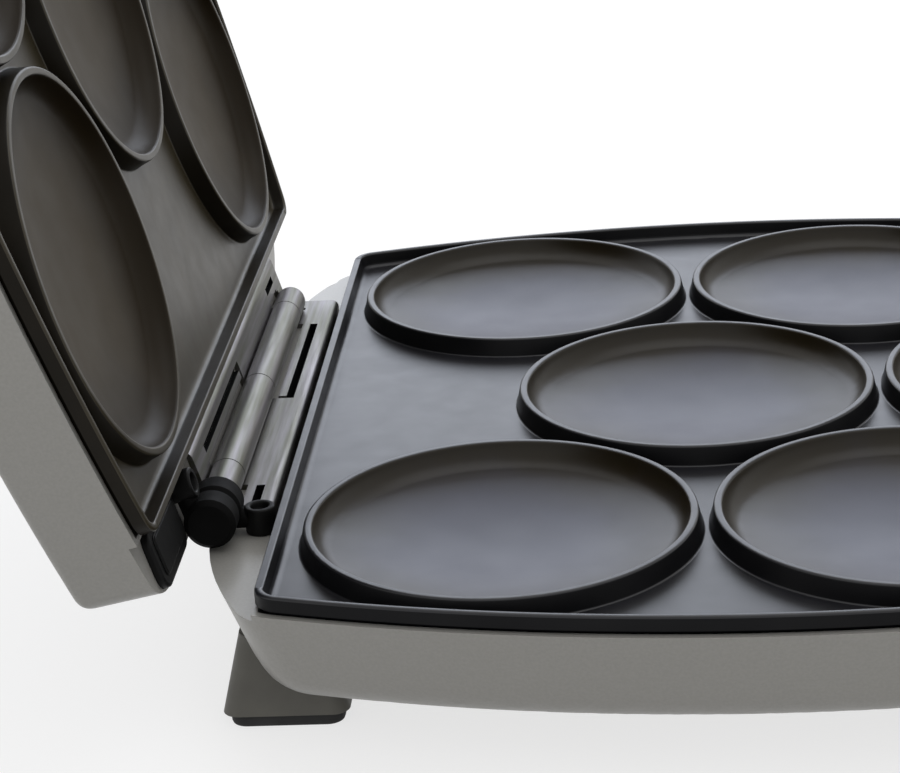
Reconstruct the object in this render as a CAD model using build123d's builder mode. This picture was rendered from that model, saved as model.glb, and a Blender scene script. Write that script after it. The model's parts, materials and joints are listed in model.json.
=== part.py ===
from build123d import *
import os
from math import radians, sqrt, tan
from typing import NamedTuple

# Countertop arepa maker: two hinged halves, each with a cast grid plate of six ring pans.
# Each half is drawn shut and lying below the hinge axis: the axis is Y, +X runs to the front.
# The lid's pieces are then turned over and opened, and the whole machine is stood on the table.
# All sizes are in millimetres. A drop is a depth below the hinge axis.

# Rings and pans
ring_radius = 46.0
ring_pitch = 95.5
ring_height = 5.0
rim_width = 1.9
ring_draft = 1.1
pan_wall_draft = 1.2
pan_wall_depth = 4.8
pan_depth = 9.2
pan_thickness = 3.2
bulge_radius = 33.0
middle_ring_x = 116.0
closing_gap = 0.3

# Grid plate
plate_rear = 14.8
plate_front = 266.0
belly_x = 130.0
belly_half = 139.4
side_bow = 390.0
front_corner_x = 220.0
front_corner_radius = 34.0
rear_corner_radius = 7.0
lip_drop = 0.8
lip_width = 2.0
lip_draft = 8.0
rear_lip_drop = 3.4
skirt_drop = 5.0
slab_thickness = 4.0
slab_inset = 1.3
boss_radius = 4.6
boss_centre_x = 115.0
boss_spacing_x = 100.0

# Heating element
element_radius = 3.2
element_half_gap = 45.0
element_start_x = 32.0
element_turn_x = 185.0
element_drop = 14.4
rail_width = 11.0
rail_drop = 17.7
seat_clearance = 0.1
terminal_radius = 1.1
terminal_length = 9.0
strap_length = 12.0
strap_width = 10.0
strap_sheet = 1.2
strap_centre_x = 115.0
strap_spacing_x = 80.0

# Reflector
reflector_drop = 20.0
reflector_sheet = 0.8
reflector_inset = 14.0
reflector_flange = 4.0

# Housings
wall = 2.0
rim_drop = 5.2
rim_margin = 1.2
deck_drop = 7.2
deck_wall = 5.0
deck_clearance = 0.4
base_depth = 32.0
base_draft = 20.0
base_corner_round = 16.0
base_floor_round = 14.0
base_screw_recess = 5.0
lid_depth = 26.0
lid_draft = 4.0
lid_corner_round = 6.0
lid_floor_round = 3.0
lid_screw_recess = 3.6
inner_chamfer_ratio = 0.34
swept_flat_half = 66.0
swept_corner_x = 12.5
square_flat_half = 106.0
square_corner_x = 1.5
post_radius = 6.5
plate_screw_radius = 2.0
plate_screw_head_radius = 3.9
plate_screw_head_height = 2.4
head_clearance = 0.4
thread_depth = 7.5
thread_clearance = 0.05

# Hinge
lid_opening = 106.0
knuckle_radius = 4.3
leaf_sheet = 1.4
pin_clearance = 0.05
knuckle_gap = 0.2
long_knuckle = 59.0
short_knuckle = 12.5
hinge_shift = 5.0
leaf_tail = 8.0
roll_seam = 0.6
leaf_front = 13.0
leaf_bend = 2.0
flange_drop = 19.0
tongue_clearance = 0.5
tongue_width = 2.2
slot_width = 1.4
slot_well_drop = 7.3
pin_head_radius = 4.0
pin_head_height = 1.3
stop_gap = 0.25
relief_half = 2.0
relief_depth = 0.8
leaf_screw_rows = (-44.0, 0.0, 44.0)
leaf_screw_drop = 12.5
leaf_screw_radius = 1.5
leaf_screw_length = 6.0
leaf_screw_head_radius = 2.8
leaf_screw_head_height = 1.6

# Wire boots at the hinge's near end
boot_radius = 6.2
boot_length = 8.0
boot_gap = 0.4
boot_edge = 1.2
gland_radius = 3.7
gland_bore_radius = 2.2
gland_bore_depth = 2.0
gland_x = 10.2
gland_top_drop = 0.4
neck_radius = 2.6
neck_drop = 3.4

# Legs and pads
hinge_height = 45.0
pad_thickness = 3.6
pad_inset = 1.5
rear_leg_x = 16.5
rear_leg_inset = 30.5
front_leg_x = 205.0
front_leg_inset = 48.0
leg_top_drop = 22.0
leg_top_length = 20.0
leg_top_width = 15.0
leg_foot_length = 30.0
leg_foot_width = 20.0
leg_corner = 4.0
leg_screw_radius = 1.8
leg_screw_head_radius = 3.4
leg_screw_head_height = 2.2
leg_screw_recess = 5.0
leg_screw_reach = 12.0
leg_post_radius = 5.0
leg_post_height = 6.2

# Handles
handle_root_gap = 1.4
handle_root_half = 56.0
handle_tip_half = 47.0
handle_length = 40.0
handle_bow = 4.0
handle_drop = 15.0
handle_gap = 0.5
handle_tip_radius = 16.0
handle_outer_edge = 4.0
handle_inner_edge = 1.0
handle_block_drop = 24.0
handle_block_depth = 14.0
handle_screw_half_spacing = 34.0
handle_screw_radius = 2.0
handle_screw_head_radius = 3.3
handle_screw_head_height = 2.2
handle_screw_drop = 11.8
handle_screw_length = 16.0
handle_screw_seat = 4.2

# Latch
latch_half_width = 16.0
latch_side_clearance = 0.4
latch_slot_length = 15.0
latch_pivot_inset = 5.6
latch_pivot_drop = 8.0
latch_boss_radius = 3.6
latch_pin_radius = 1.5
latch_pin_reach = 9.0
latch_front_clearance = 1.0
latch_thickness = 3.6
latch_catch_gap = 0.6
latch_tooth = 6.0
latch_tooth_height = 3.0
latch_edge = 0.8
latch_opening = 40.0

# Lid trim and lamps
trim_inset = 30.0
trim_recess = 1.0
trim_thickness = 2.6
trim_edge = 1.2
lamp_x = 214.0
lamp_half_spacing = 14.0
lamp_radius = 4.0
lamp_flange_radius = 5.6
lamp_flange_height = 1.6
lamp_clearance = 0.2
lamp_stand = 0.8

# Control parts inside the base
thermostat_x = 58.0
thermostat_radius = 8.5
thermostat_cap_radius = 7.0
thermostat_base_height = 3.4
thermostat_cap_height = 3.6
blade_length = 3.4
blade_width = 4.8
blade_sheet = 0.8
blade_offset = 4.0
fuse_x = 28.0
fuse_y = 14.0
fuse_radius = 2.2
fuse_length = 13.0
fuse_lead_radius = 0.6
fuse_lead_length = 9.0
block_x = 34.0
block_y = 48.0
block_length = 15.0
block_width = 34.0
block_height = 6.4
block_well_radius = 2.4
block_well_depth = 3.0
block_pitch = 10.0
block_ways = 3

# Cord gland in the rear wall
cord_gland_y = 52.0
cord_gland_drop = 20.0
cord_gland_radius = 5.5
cord_gland_flange_radius = 8.2
cord_gland_outside = 3.0
cord_gland_inside = 8.0
cord_bore_radius = 3.2
cord_gland_clearance = 0.1
cord_gland_edge = 1.2

# Places that follow from the sizes above
ring_top = -closing_gap / 2
flat_top = ring_top - ring_height
slab_bottom = flat_top - slab_thickness
row_spacing = ring_pitch * sqrt(3) / 2
ring_places = [
    (middle_ring_x, 0),
    (middle_ring_x + ring_pitch, 0),
    (middle_ring_x - ring_pitch / 2, row_spacing),
    (middle_ring_x + ring_pitch / 2, row_spacing),
    (middle_ring_x - ring_pitch / 2, -row_spacing),
    (middle_ring_x + ring_pitch / 2, -row_spacing),
]


class Shell(NamedTuple):
    # One half's housing; left and right are its rear corners as (end of the straight, corner x)
    depth: float
    draft: float
    corner_round: float
    floor_round: float
    screw_recess: float
    left: tuple
    right: tuple
    hinge_middle: float
    leaf_low: float
    leaf_high: float


def side_at(x, margin=0.0):
    # Half the plate's width at x, on the bow of its sides
    return belly_half - side_bow + sqrt((side_bow + margin) ** 2 - (x - belly_x) ** 2)


def rectangle_places(centre_x, spacing_x, spacing_y):
    corners = [(-0.5, -0.5), (-0.5, 0.5), (0.5, -0.5), (0.5, 0.5)]
    return [(centre_x + spacing_x * i, spacing_y * j) for i, j in corners]


boss_places = rectangle_places(boss_centre_x, boss_spacing_x, 2 * row_spacing)
strap_places = rectangle_places(strap_centre_x, strap_spacing_x, 2 * element_half_gap)
rear_leg_y = side_at(rear_leg_x) - rear_leg_inset
front_leg_y = side_at(front_leg_x) - front_leg_inset
leg_places = {
    "rear_leg_left": (rear_leg_x, -rear_leg_y),
    "rear_leg_right": (rear_leg_x, rear_leg_y),
    "front_leg_left": (front_leg_x, -front_leg_y),
    "front_leg_right": (front_leg_x, front_leg_y),
}
lamp_places = {
    "power_lamp_lens": (lamp_x, -lamp_half_spacing),
    "ready_lamp_lens": (lamp_x, lamp_half_spacing),
}
hinge_half = long_knuckle + short_knuckle
near_end = hinge_half - hinge_shift
far_end = hinge_half + hinge_shift + leaf_tail
boot_start = near_end + knuckle_gap + pin_head_height + boot_gap
own_knuckles = [(-long_knuckle, 0), (long_knuckle, hinge_half)]
other_knuckles = [(0, long_knuckle), (-hinge_half, -long_knuckle)]
bore_radius = knuckle_radius - leaf_sheet
leaf_top = leaf_sheet - knuckle_radius
leaf_back = leaf_front - leaf_sheet
rear_reach = knuckle_radius / tan(radians(lid_opening / 2)) - stop_gap
deck_front = plate_rear + slab_inset - deck_clearance
deck_step_x = plate_rear - deck_clearance
post_top = -reflector_drop - reflector_sheet
leg_bottom = pad_thickness - hinge_height
leg_screw_seat = leg_bottom + leg_screw_recess
handle_root_x = plate_front + rim_margin + handle_root_gap
handle_tip_x = handle_root_x + handle_length
latch_pivot_x = handle_tip_x - latch_pivot_inset
handle_screw_x = handle_root_x - handle_screw_seat
handle_rows = [(side * handle_screw_half_spacing, -handle_screw_drop) for side in (-1, 1)]
slot_x = knuckle_radius + tongue_clearance + tongue_width
cord_gland_place = (cord_gland_y, -cord_gland_drop)
swept_corner = (swept_flat_half, swept_corner_x)
square_corner = (square_flat_half, square_corner_x)
base_shell = Shell(
    depth=base_depth,
    draft=base_draft,
    corner_round=base_corner_round,
    floor_round=base_floor_round,
    screw_recess=base_screw_recess,
    left=swept_corner,
    right=swept_corner,
    hinge_middle=hinge_shift,
    leaf_low=-near_end,
    leaf_high=far_end,
)
lid_shell = Shell(
    depth=lid_depth,
    draft=lid_draft,
    corner_round=lid_corner_round,
    floor_round=lid_floor_round,
    screw_recess=lid_screw_recess,
    left=swept_corner,
    right=square_corner,
    hinge_middle=-hinge_shift,
    leaf_low=-far_end,
    leaf_high=near_end,
)


def plate_outline(inset=0.0):
    # A straight hinge edge, bowed sides and a bowed front
    corner = (front_corner_x, side_at(front_corner_x))
    with BuildSketch(mode=Mode.PRIVATE) as outline:
        with BuildLine():
            side = ThreePointArc((plate_rear, side_at(plate_rear)), (belly_x, belly_half), corner)
            TangentArc((plate_front, 0), corner, tangent=(0, 1))
            mirror(about=Plane.XZ)
            Line(side @ 0, (plate_rear, -side_at(plate_rear)))
        make_face()
        fillet(outline.vertices().group_by(Axis.X)[0], rear_corner_radius)
        fillet(outline.vertices().group_by(Axis.X)[-1], front_corner_radius)
        if inset:
            offset(amount=-inset)
    return outline.sketch


def housing_outline(shell, inset=0.0):
    # Straight behind the hinge, two rear corners, then the plate's sides and front
    front_x = front_corner_x + rim_margin
    with BuildSketch(mode=Mode.PRIVATE) as outline:
        with BuildLine():
            for side, (flat_half, corner_x) in ((-1, shell.left), (1, shell.right)):
                corner = (corner_x, side * side_at(corner_x, rim_margin))
                belly = (belly_x, side * (belly_half + rim_margin))
                front = (front_x, side * side_at(front_corner_x, rim_margin))
                rear = Line((-rear_reach, 0), (-rear_reach, side * flat_half))
                TangentArc(rear @ 1, corner, tangent=rear % 1)
                ThreePointArc(corner, belly, front)
                TangentArc((plate_front + rim_margin, 0), front, tangent=(0, side))
        make_face()
        fillet(outline.vertices().group_by(Axis.X)[-1], front_corner_radius)
        if inset:
            offset(amount=-inset)
    return outline.sketch


def dots(places, radius):
    # One circle at each place
    with BuildSketch(mode=Mode.PRIVATE) as circles:
        with Locations(*places):
            Circle(radius)
    return circles.sketch


def oblong(low_x, high_x, low_y, high_y):
    # A rectangle between two corners
    with BuildSketch(mode=Mode.PRIVATE) as area:
        with Locations(((low_x + high_x) / 2, (low_y + high_y) / 2)):
            Rectangle(high_x - low_x, high_y - low_y)
    return area.sketch


def upright(outline, top, bottom, draft=0.0):
    # An outline extruded down from one level to another
    with BuildPart(mode=Mode.PRIVATE) as body:
        with BuildSketch(Plane.XY.offset(top)):
            add(outline)
        extrude(amount=top - bottom, dir=(0, 0, -1), taper=draft)
    return body.part


def along_x(places, radius, low_x, high_x):
    # Round bars along X; a place is (y, z)
    with BuildPart(mode=Mode.PRIVATE) as body:
        with BuildSketch(Plane.YZ.offset(low_x)):
            with Locations(*places):
                Circle(radius)
        extrude(amount=high_x - low_x)
    return body.part


def along_y(x, z, radius, low_y, high_y):
    # A round bar along Y
    with BuildPart(mode=Mode.PRIVATE) as body:
        with BuildSketch(Plane.XZ.offset(-low_y)):
            with Locations((x, z)):
                Circle(radius)
        extrude(amount=low_y - high_y)
    return body.part


def tub(shell, inset):
    # A drafted tub, rounded at its rear corners
    with BuildPart(mode=Mode.PRIVATE) as body:
        add(upright(housing_outline(shell, inset), -rim_drop, inset - shell.depth, shell.draft))
        standing = body.edges() - body.faces().sort_by(Axis.Z)[0].edges()
        standing = standing - body.faces().sort_by(Axis.Z)[-1].edges()
        rear = standing.filter_by(lambda edge: edge.center().X < belly_x).sort_by(Axis.Y)
        fillet([rear[0], rear[-1]], shell.corner_round - inset)
    return body.part


def outer_tub(shell):
    with BuildPart(mode=Mode.PRIVATE) as body:
        add(tub(shell, 0))
        fillet(body.faces().sort_by(Axis.Z)[0].edges(), shell.floor_round)
    return body.part


def inner_tub(shell):
    with BuildPart(mode=Mode.PRIVATE) as body:
        add(tub(shell, wall))
        chamfer(body.faces().sort_by(Axis.Z)[0].edges(), inner_chamfer_ratio * shell.floor_round)
    return body.part


def screws(places, seat, head_radius, head_height, radius, length):
    # Pan-head screws that point up, with their heads below the seat
    with BuildPart(mode=Mode.PRIVATE) as group:
        add(upright(dots(places, head_radius), seat, seat - head_height))
        add(upright(dots(places, radius), seat + length, seat))
    return group.part


def element_path():
    # The heater's hairpin: out along one side, round under the front ring and back
    with BuildLine(Plane.XY.offset(-element_drop), mode=Mode.PRIVATE) as path:
        out = Line((element_start_x, -element_half_gap), (element_turn_x, -element_half_gap))
        turn = TangentArc(out @ 1, (element_turn_x, element_half_gap), tangent=out % 1)
        Line(turn @ 1, (element_start_x, element_half_gap))
    return path.line


def element_rod(radius):
    path = element_path()
    with BuildPart(mode=Mode.PRIVATE) as rod:
        with BuildSketch(Plane(origin=path @ 0, z_dir=path % 0)):
            Circle(radius)
        sweep(path=path)
    return rod.part


def heating_element():
    # The sheathed rod with its two terminal pins
    ends = [(-element_half_gap, -element_drop), (element_half_gap, -element_drop)]
    with BuildPart() as element:
        add(element_rod(element_radius))
        add(along_x(ends, terminal_radius, element_start_x - terminal_length, element_start_x))
    return element.part


def path_outline(width):
    # A strip of this width along the element's path
    with BuildSketch(mode=Mode.PRIVATE) as outline:
        with BuildLine():
            add(element_path().moved(Location((0, 0, element_drop))))
        trace(line_width=width)
    return outline.sketch


def grid_plate():
    # One cast plate: six ring pans, a lip and a skirt, with the element's rail and four bosses beneath
    pan_edge = ring_radius - rim_width - pan_wall_draft
    bulge = -pan_depth - pan_thickness
    with BuildPart(mode=Mode.PRIVATE) as puck:
        with BuildSketch(Plane.XZ):
            with BuildLine():
                Polyline(
                    (0, ring_top),
                    (ring_radius, ring_top),
                    (ring_radius + ring_draft, flat_top),
                    (ring_radius + ring_draft, slab_bottom),
                    (bulge_radius, slab_bottom),
                    (bulge_radius - pan_thickness, bulge),
                    (0, bulge),
                    close=True,
                )
            make_face()
        revolve(axis=Axis.Z)
    with BuildPart(mode=Mode.PRIVATE) as dish:
        with BuildSketch(Plane.XZ):
            with BuildLine():
                floor = TangentArc((0, -pan_depth), (pan_edge, -pan_wall_depth), tangent=(1, 0))
                Polyline(floor @ 1, (ring_radius - rim_width, ring_top), (0, ring_top), floor @ 0)
            make_face()
        revolve(axis=Axis.Z)
    with BuildPart() as plate:
        add(upright(plate_outline(), -lip_drop, -skirt_drop))
        add(upright(plate_outline(slab_inset), -skirt_drop, slab_bottom, base_draft))
        add(upright(plate_outline(lip_width), -lip_drop, flat_top, lip_draft), mode=Mode.SUBTRACT)
        rear_half = side_at(plate_rear) - rear_corner_radius
        rear_lip = oblong(plate_rear, plate_rear + rear_corner_radius, -rear_half, rear_half)
        add(upright(rear_lip, -lip_drop, -rear_lip_drop), mode=Mode.SUBTRACT)
        with Locations(*ring_places):
            add(puck.part)
            add(dish.part, mode=Mode.SUBTRACT)
        add(upright(path_outline(rail_width), slab_bottom, -rail_drop))
        groove = path_outline(2 * (element_radius + seat_clearance))
        groove_top = element_radius + seat_clearance - element_drop
        add(upright(groove, groove_top, -rail_drop), mode=Mode.SUBTRACT)
        add(upright(dots(boss_places, boss_radius), slab_bottom, -reflector_drop))
        thread = dots(boss_places, plate_screw_radius + thread_clearance)
        thread_top = thread_depth + head_clearance - reflector_drop
        add(upright(thread, thread_top, -reflector_drop), mode=Mode.SUBTRACT)
    return plate.part


def element_straps():
    # Straps staked across the groove to hold the rod in
    with BuildPart() as straps:
        with BuildSketch(Plane.XY.offset(-rail_drop)):
            with Locations(*strap_places):
                Rectangle(strap_length, strap_width)
        extrude(amount=-strap_sheet)
    return straps.part


def reflector():
    # A shallow sheet tray, held between the plate's bosses and the housing's posts
    with BuildPart() as tray:
        add(upright(plate_outline(reflector_inset), reflector_flange - reflector_drop, post_top))
        inside = plate_outline(reflector_inset + reflector_sheet)
        add(upright(inside, reflector_flange - reflector_drop, -reflector_drop), mode=Mode.SUBTRACT)
        holes = dots(boss_places, plate_screw_radius + seat_clearance)
        add(upright(holes, -reflector_drop, post_top), mode=Mode.SUBTRACT)
    return tray.part


def placed_knuckles(spans, middle):
    # Knuckle spans along the hinge, each shifted to the hinge's middle
    return [(low + middle, high + middle) for low, high in spans]


def hinge_leaf(shell):
    # A pressed leaf: flat on the deck, turned down at the front, with two rolled knuckles
    middle = shell.hinge_middle
    hinge_low = middle - hinge_half
    hinge_high = middle + hinge_half
    slot_end = slot_x + slot_width
    with BuildPart() as leaf:
        with BuildSketch(Plane.XZ.offset(-shell.leaf_low)):
            with BuildLine():
                Polyline(
                    (0, -knuckle_radius),
                    (leaf_back, -knuckle_radius),
                    (leaf_back, -flange_drop),
                    (leaf_front, -flange_drop),
                    (leaf_front, leaf_top),
                    (0, leaf_top),
                    close=True,
                )
            corner = make_face()
            fillet(corner.vertices().sort_by(Axis.X)[-2:].sort_by(Axis.Y)[-1], leaf_bend)
        extrude(amount=shell.leaf_low - shell.leaf_high)
        for low, high in placed_knuckles(other_knuckles, middle):
            low = max(low - knuckle_gap, hinge_low)
            high = high + knuckle_gap
            cut_end = knuckle_radius + tongue_clearance
            add(upright(oblong(0, cut_end, low, high), 0, -knuckle_radius), mode=Mode.SUBTRACT)
            slot = oblong(slot_x, slot_end, low, high - 2 * knuckle_gap)
            add(upright(slot, 0, -knuckle_radius), mode=Mode.SUBTRACT)
        hook = oblong(knuckle_radius, slot_end, middle - knuckle_gap, middle + slot_width)
        add(upright(hook, 0, -knuckle_radius), mode=Mode.SUBTRACT)
        for low, high in placed_knuckles(own_knuckles, middle):
            low = low + knuckle_gap
            high = min(high - knuckle_gap, hinge_high)
            with BuildSketch(Plane.XZ.offset(-low)):
                Circle(knuckle_radius)
                Circle(bore_radius, mode=Mode.SUBTRACT)
                with Locations((knuckle_radius / 2, leaf_top + roll_seam / 2)):
                    Rectangle(knuckle_radius, roll_seam, mode=Mode.SUBTRACT)
            extrude(amount=low - high)
        head_reach = hinge_half + pin_head_height + 2 * knuckle_gap
        for low, high in ((middle - head_reach, hinge_low), (hinge_high, middle + head_reach)):
            notch = oblong(0, pin_head_radius, low, high)
            add(upright(notch, 0, -knuckle_radius), mode=Mode.SUBTRACT)
        holes = along_x(leaf_screw_places(shell), leaf_screw_radius + seat_clearance, leaf_back, leaf_front)
        add(holes, mode=Mode.SUBTRACT)
    return leaf.part


def leaf_screw_places(shell):
    return [(shell.hinge_middle + row, -leaf_screw_drop) for row in leaf_screw_rows]


def leaf_screws(shell):
    # Pan-head screws that run back through the leaf's flange into the deck wall
    places = leaf_screw_places(shell)
    with BuildPart(mode=Mode.PRIVATE) as group:
        add(along_x(places, leaf_screw_head_radius, leaf_front, leaf_front + leaf_screw_head_height))
        add(along_x(places, leaf_screw_radius, leaf_front - leaf_screw_length, leaf_front))
    return group.part


def wire_boot(near, far):
    # A rubber sleeve on the hinge axis, whose neck runs into the gland on the deck
    middle = (near + far) / 2
    gland_back = upright(dots([(gland_x, middle)], gland_radius), 0, -deck_drop)
    with BuildPart(mode=Mode.PRIVATE) as boot:
        add(along_y(0, 0, boot_radius, near, far))
        chamfer(boot.edges().filter_by(GeomType.CIRCLE), boot_edge)
        add(along_x([(middle, -neck_drop)], neck_radius, 0, gland_x))
        add(gland_back, mode=Mode.SUBTRACT)
    return boot.part


def wire_gland(near, far):
    # A collared bush that brings the leads up through the deck
    middle = [(gland_x, (near + far) / 2)]
    with BuildPart(mode=Mode.PRIVATE) as gland:
        add(upright(dots(middle, gland_radius), -gland_top_drop, -deck_drop))
        bore_bottom = -gland_top_drop - gland_bore_depth
        add(upright(dots(middle, gland_bore_radius), -gland_top_drop, bore_bottom), mode=Mode.SUBTRACT)
    return gland.part


def housing_half(shell):
    # The shell of either half: drafted tub, hinge deck, leaf seat, handle block and screw posts
    block_back = handle_root_x - handle_block_depth
    hinge_low = shell.hinge_middle - hinge_half
    hinge_high = shell.hinge_middle + hinge_half
    with BuildPart(mode=Mode.PRIVATE) as hollow:
        add(inner_tub(shell))
        deck = oblong(-rear_reach, deck_front, -belly_half, belly_half)
        add(upright(deck, -rim_drop, -deck_drop - wall), mode=Mode.SUBTRACT)
        deck_support = oblong(leaf_back - deck_wall, leaf_back, shell.leaf_low, shell.leaf_high)
        add(upright(deck_support, -rim_drop, -flange_drop), mode=Mode.SUBTRACT)
    with BuildPart(mode=Mode.PRIVATE) as housing:
        add(outer_tub(shell))
        block = oblong(block_back, handle_root_x, -handle_root_half, handle_root_half)
        add(upright(block, -rim_drop, -handle_block_drop))
        add(hollow.part, mode=Mode.SUBTRACT)
        deck_top = oblong(-rear_reach, deck_step_x, -belly_half, belly_half)
        add(upright(deck_top, -rim_drop, -deck_drop), mode=Mode.SUBTRACT)
        for low_x, low, high in (
            (-rear_reach, hinge_low, hinge_high),
            (0, shell.leaf_low, shell.leaf_high),
        ):
            add(upright(oblong(low_x, leaf_back, low, high), -knuckle_radius, -deck_drop))
        flange_slot = oblong(leaf_back, deck_front, shell.leaf_low, shell.leaf_high)
        add(upright(flange_slot, -rim_drop, -deck_drop - wall), mode=Mode.SUBTRACT)
        for low, high in placed_knuckles(other_knuckles, shell.hinge_middle):
            relief = oblong(-relief_half, relief_half, low - knuckle_gap, high + knuckle_gap)
            add(upright(relief, -knuckle_radius, -knuckle_radius - relief_depth), mode=Mode.SUBTRACT)
            well = oblong(slot_x, slot_x + slot_width, low, high)
            add(upright(well, -knuckle_radius, -slot_well_drop), mode=Mode.SUBTRACT)
        add(upright(dots(boss_places, post_radius), post_top, wall - shell.depth))
        recess = dots(boss_places, plate_screw_head_radius + head_clearance)
        add(upright(recess, shell.screw_recess - shell.depth, -shell.depth), mode=Mode.SUBTRACT)
        bolt_holes = dots(boss_places, plate_screw_radius + seat_clearance)
        add(upright(bolt_holes, post_top, -shell.depth), mode=Mode.SUBTRACT)
        pilot_end = leaf_front - leaf_screw_length - head_clearance
        pilots = along_x(leaf_screw_places(shell), leaf_screw_radius + thread_clearance, pilot_end, leaf_back)
        add(pilots, mode=Mode.SUBTRACT)
        bolt_radius = handle_screw_radius + seat_clearance
        add(along_x(handle_rows, bolt_radius, block_back, handle_root_x), mode=Mode.SUBTRACT)
        spot = handle_screw_head_radius + head_clearance
        add(along_x(handle_rows, spot, block_back, handle_screw_x), mode=Mode.SUBTRACT)
    return housing.part


def handle_grip():
    # A tapering grip with a bowed tip, rounded on its outer side
    corner = (handle_tip_x - handle_bow, handle_tip_half)
    with BuildPart() as grip:
        with BuildSketch(Plane.XY.offset(-handle_gap)):
            with BuildLine():
                side = Line((handle_root_x, handle_root_half), corner)
                TangentArc((handle_tip_x, 0), corner, tangent=(0, 1))
                mirror(about=Plane.XZ)
                Line(side @ 0, (handle_root_x, -handle_root_half))
            outline = make_face()
            fillet(outline.vertices().group_by(Axis.X)[-1], handle_tip_radius)
        extrude(amount=handle_gap - handle_drop)
        outer_face = grip.faces().sort_by(Axis.Z)[0]
        inner_face = grip.faces().sort_by(Axis.Z)[-1]
        fillet(outer_face.edges().sort_by(Axis.X)[1:], handle_outer_edge)
        fillet(inner_face.edges().sort_by(Axis.X)[1:], handle_inner_edge)
        hole_end = handle_screw_x + handle_screw_length + head_clearance
        bores = along_x(handle_rows, handle_screw_radius + thread_clearance, handle_root_x, hole_end)
        add(bores, mode=Mode.SUBTRACT)
    return grip.part


def handle_screws():
    with BuildPart(mode=Mode.PRIVATE) as group:
        head_start = handle_screw_x - handle_screw_head_height
        add(along_x(handle_rows, handle_screw_head_radius, head_start, handle_screw_x))
        add(along_x(handle_rows, handle_screw_radius, handle_screw_x, handle_screw_x + handle_screw_length))
    return group.part


def plate_screws(shell):
    seat = shell.screw_recess - shell.depth
    length = thread_depth - reflector_drop - seat
    head = (plate_screw_head_radius, plate_screw_head_height)
    return screws(boss_places, seat, *head, plate_screw_radius, length)


def leg_posts():
    # Solid columns over the legs, kept within the belly of the base
    floor = wall - base_depth
    with BuildPart(mode=Mode.PRIVATE) as posts:
        add(upright(dots(leg_places.values(), leg_post_radius), floor + leg_post_height, floor))
        add(outer_tub(base_shell), mode=Mode.INTERSECT)
    return posts.part


def base_housing():
    # The lower shell, with posts for the legs and a hole for the cord's gland
    hole = cord_gland_radius + cord_gland_clearance
    with BuildPart() as housing:
        add(housing_half(base_shell))
        add(leg_posts())
        screw_end = leg_screw_seat + leg_screw_reach + head_clearance
        threads = dots(leg_places.values(), leg_screw_radius + thread_clearance)
        add(upright(threads, screw_end, -base_depth), mode=Mode.SUBTRACT)
        add(along_x([cord_gland_place], hole, -rear_reach, cord_gland_inside), mode=Mode.SUBTRACT)
    return housing.part


def lid_housing():
    # The upper shell, with a shallow recess for its trim panel and holes for two lamps
    lamps = dots(lamp_places.values(), lamp_radius + lamp_clearance)
    with BuildPart() as housing:
        add(housing_half(lid_shell))
        recess = plate_outline(trim_inset - lamp_clearance)
        add(upright(recess, trim_recess - lid_depth, -lid_depth), mode=Mode.SUBTRACT)
        add(upright(lamps, wall - lid_depth, -lid_depth), mode=Mode.SUBTRACT)
    return housing.part


def leg(x, y):
    # A flared leg, cut to the belly of the housing, with its screw sunk in the foot
    with BuildPart() as body:
        for level, length, width in (
            (leg_bottom, leg_foot_length, leg_foot_width),
            (-leg_top_drop, leg_top_length, leg_top_width),
        ):
            with BuildSketch(Plane.XY.offset(level)):
                with Locations((x, y)):
                    RectangleRounded(length, width, leg_corner)
        loft(ruled=True)
        add(outer_tub(base_shell), mode=Mode.SUBTRACT)
        recess = dots([(x, y)], leg_screw_head_radius + head_clearance)
        add(upright(recess, leg_screw_seat, leg_bottom), mode=Mode.SUBTRACT)
        hole = dots([(x, y)], leg_screw_radius + seat_clearance)
        add(upright(hole, -leg_top_drop, leg_screw_seat), mode=Mode.SUBTRACT)
    return body.part


def leg_screws():
    places = leg_places.values()
    head = (leg_screw_head_radius, leg_screw_head_height)
    return screws(places, leg_screw_seat, *head, leg_screw_radius, leg_screw_reach)


def leg_pads():
    # Rubber pads glued under the legs
    with BuildPart() as pads:
        with BuildSketch(Plane.XY.offset(leg_bottom)):
            with Locations(*leg_places.values()):
                RectangleRounded(leg_foot_length - 2 * pad_inset, leg_foot_width - 2 * pad_inset, leg_corner)
        extrude(amount=-pad_thickness)
    return pads.part


def hinge_pin():
    # The pin through all four knuckles, with a head at each end
    reach = hinge_half + knuckle_gap
    with BuildPart() as pin:
        add(along_y(0, 0, bore_radius - pin_clearance, hinge_shift - reach, hinge_shift + reach))
        for side in (-1, 1):
            inner = hinge_shift + side * reach
            ends = sorted((inner, inner + side * pin_head_height))
            add(along_y(0, 0, pin_head_radius, *ends))
    return pin.part


def cord_gland():
    # A flanged bush in the base's rear wall
    with BuildPart() as gland:
        add(along_x([cord_gland_place], cord_gland_flange_radius, -cord_gland_outside, cord_gland_inside))
        add(outer_tub(base_shell), mode=Mode.SUBTRACT)
        chamfer(gland.faces().sort_by(Axis.X)[0].edges(), cord_gland_edge)
        add(along_x([cord_gland_place], cord_gland_radius, 0, cord_gland_inside))
        bore = along_x([cord_gland_place], cord_bore_radius, -cord_gland_outside, cord_gland_inside)
        add(bore, mode=Mode.SUBTRACT)
    return gland.part


def lid_handle():
    # The grip of the lid, slotted for the latch and bored for its pin
    slot_half = latch_half_width + latch_side_clearance
    slot = oblong(handle_tip_x - latch_slot_length, handle_tip_x, -slot_half, slot_half)
    with BuildPart() as grip:
        add(handle_grip())
        add(upright(slot, 0, -handle_drop), mode=Mode.SUBTRACT)
        add(latch_axle(latch_pin_radius + thread_clearance), mode=Mode.SUBTRACT)
    return grip.part


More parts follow.
